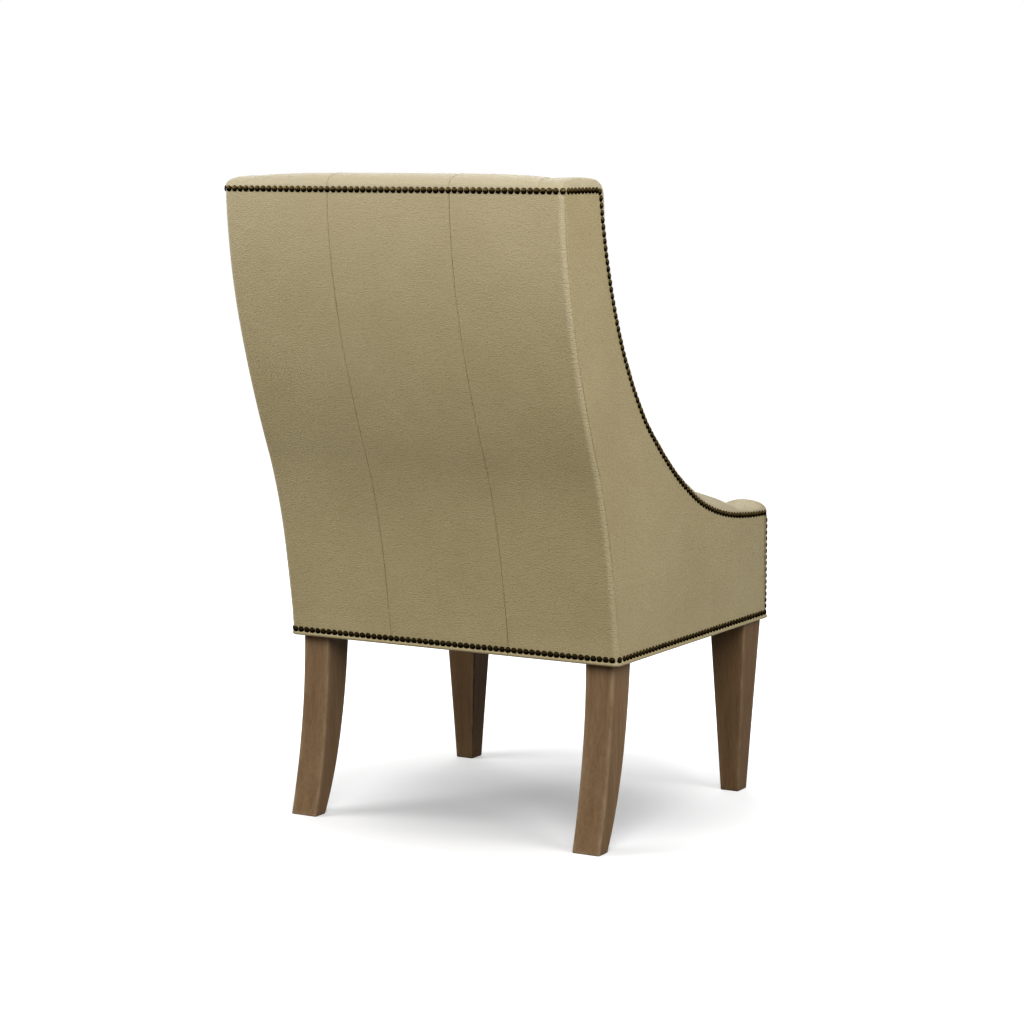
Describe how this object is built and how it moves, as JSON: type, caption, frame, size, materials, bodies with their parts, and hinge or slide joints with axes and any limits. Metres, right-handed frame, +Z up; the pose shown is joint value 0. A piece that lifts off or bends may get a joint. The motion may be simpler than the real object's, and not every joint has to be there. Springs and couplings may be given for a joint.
{
  "type": "leather dining chair",
  "caption": "High-backed dining chair in leather: the side wings slope down a scoop to low padded arms, with nail-head trim and tapered wooden legs, swept back at the rear.",
  "frame": {"origin": "on the floor, midway across the width and midway along the depth", "axes": "+Z up; the chair faces -Y, so +Y is behind its back; +X is the sitter's left"},
  "size_m": [0.6136, 0.734, 1.061],
  "materials": {
    "leather": "khaki, fine pebbled grain, low sheen",
    "leg_wood": "weathered mid brown, satin, lighter at the edges",
    "frame_wood": "bare sawn hardwood",
    "foam": "pale upholstery foam",
    "board": "bare fibreboard",
    "steel": "plain",
    "bronze": "antique bronze, dark in the hollows",
    "webbing": "woven, matt",
    "cloth": "black, matt"
  },
  "bodies": {
    "root": {"arm_foam_left": "foam", "arm_foam_right": "foam", "back_board": "board", "back_foam": "foam", "back_post_left": "frame_wood", "back_post_right": "frame_wood", "back_webbing_1": "webbing", "back_webbing_2": "webbing", "back_webbing_3": "webbing", "corner_block_front_left": "frame_wood", "corner_block_front_right": "frame_wood", "corner_block_rear_left": "frame_wood", "corner_block_rear_right": "frame_wood", "crest_rail": "frame_wood", "dust_cover": "cloth", "front_band": "leather", "front_leg_left": "leg_wood", "front_leg_right": "leg_wood", "front_rail": "frame_wood", "inside_arm_left": "leather", "inside_arm_right": "leather", "inside_back_centre": "leather", "inside_back_left": "leather", "inside_back_right": "leather", "leg_bolt_front_left": "steel", "leg_bolt_front_right": "steel", "leg_bolt_rear_left": "steel", "leg_bolt_rear_right": "steel", "lower_back_rail": "frame_wood", "nails_back_bottom": "bronze", "nails_back_top": "bronze", "nails_bottom_left": "bronze", "nails_bottom_right": "bronze", "nails_front_bottom": "bronze", "nails_front_left": "bronze", "nails_front_right": "bronze", "nails_scoop_left": "bronze", "nails_scoop_right": "bronze", "outside_back_centre": "leather", "outside_back_left": "leather", "outside_back_right": "leather", "outside_side_left": "leather", "outside_side_right": "leather", "rear_leg_left": "leg_wood", "rear_leg_right": "leg_wood", "rear_rail": "frame_wood", "scoop_rail_left": "frame_wood", "scoop_rail_right": "frame_wood", "seat_cover": "leather", "seat_deck": "webbing", "seat_foam": "foam", "seat_spring_1": "steel", "seat_spring_2": "steel", "seat_spring_3": "steel", "seat_spring_4": "steel", "side_board_left": "board", "side_board_right": "board", "side_rail_left": "frame_wood", "side_rail_right": "frame_wood"}
  },
  "joints": []
}
